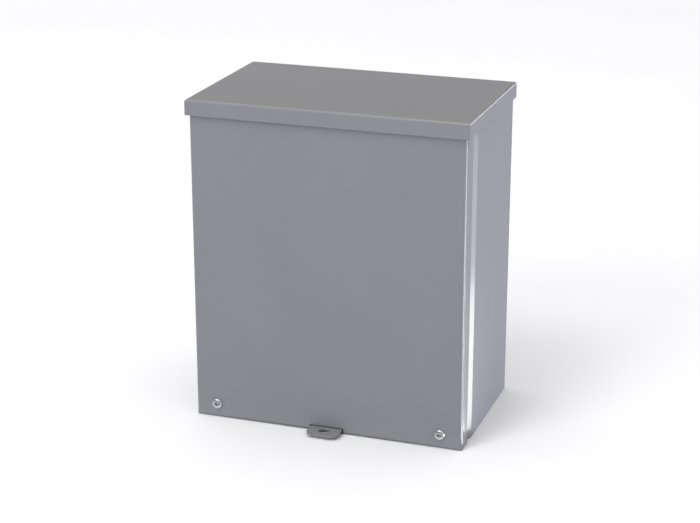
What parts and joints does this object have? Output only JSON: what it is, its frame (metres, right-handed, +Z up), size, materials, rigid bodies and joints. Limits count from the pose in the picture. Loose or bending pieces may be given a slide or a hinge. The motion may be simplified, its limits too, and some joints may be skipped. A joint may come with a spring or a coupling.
{
  "type": "rainproof screw-cover enclosure",
  "caption": "Wall-mounted sheet-steel electrical enclosure with a drip-shield roof, a screw-on front cover, a padlock staple and an inner mounting panel.",
  "frame": {"origin": "centre of the four wall holes, on the plane of their raised pads, which is the wall's face", "axes": "+X to the right as seen from the front, +Y from the cover into the wall, +Z up"},
  "size_m": [0.259, 0.173, 0.3],
  "materials": {
    "grey_paint": "semi-gloss grey powder coat",
    "zinc_plate": "bright zinc plate",
    "white_paint": "satin white powder coat",
    "nylon": "natural nylon",
    "tinned_aluminium": "tin plate"
  },
  "bodies": {
    "enclosure": {"body_wrap": "grey_paint", "bottom_panel": "grey_paint", "drip_shield": "grey_paint", "top_rail": "grey_paint", "padlock_staple": "grey_paint", "cover_nut_left": "zinc_plate", "cover_nut_right": "zinc_plate", "inner_panel": "white_paint", "panel_stud_top_left": "zinc_plate", "panel_stud_top_right": "zinc_plate", "panel_stud_bottom_left": "zinc_plate", "panel_stud_bottom_right": "zinc_plate", "lock_washer_top_left": "zinc_plate", "lock_washer_top_right": "zinc_plate", "lock_washer_bottom_left": "zinc_plate", "lock_washer_bottom_right": "zinc_plate", "panel_nut_top_left": "zinc_plate", "panel_nut_top_right": "zinc_plate", "panel_nut_bottom_left": "zinc_plate", "panel_nut_bottom_right": "zinc_plate", "ground_lug": "tinned_aluminium", "lug_fixing_screw": "zinc_plate", "lug_tooth_washer": "zinc_plate"},
    "cover": {"front_cover": "grey_paint"},
    "left_retainer": {"screw_retainer_left": "nylon"},
    "left_screw": {"cover_screw_left": "zinc_plate"},
    "right_retainer": {"screw_retainer_right": "nylon"},
    "right_screw": {"cover_screw_right": "zinc_plate"},
    "lug_clamp": {"lug_clamp_screw": "zinc_plate"}
  },
  "joints": [
    {"name": "cover_tilt", "type": "hinge", "parent": "enclosure", "child": "cover", "pos_m": [0, -0.154, 0.138], "axis": [-1, 0, 0], "range_deg": [0, 25]},
    {"name": "left_screw_draw", "type": "slide", "parent": "cover", "child": "left_retainer", "axis": [0, -1, 0], "range_m": [0, 0.0076]},
    {"name": "left_screw_turn", "type": "hinge", "parent": "left_retainer", "child": "left_screw", "pos_m": [-0.1066, -0.156, -0.1367], "axis": [0, -1, 0], "continuous": true},
    {"name": "right_screw_draw", "type": "slide", "parent": "cover", "child": "right_retainer", "axis": [0, -1, 0], "range_m": [0, 0.0076]},
    {"name": "right_screw_turn", "type": "hinge", "parent": "right_retainer", "child": "right_screw", "pos_m": [0.1066, -0.156, -0.1367], "axis": [0, -1, 0], "continuous": true},
    {"name": "lug_clamp_travel", "type": "slide", "parent": "enclosure", "child": "lug_clamp", "axis": [0, 1, 0], "range_m": [0, 0.0055]}
  ],
  "couplings": [
    {"joint": "left_screw_turn", "follows": "left_screw_draw", "rad_per_m": 7915.8},
    {"joint": "right_screw_turn", "follows": "right_screw_draw", "rad_per_m": 7915.8}
  ]
}
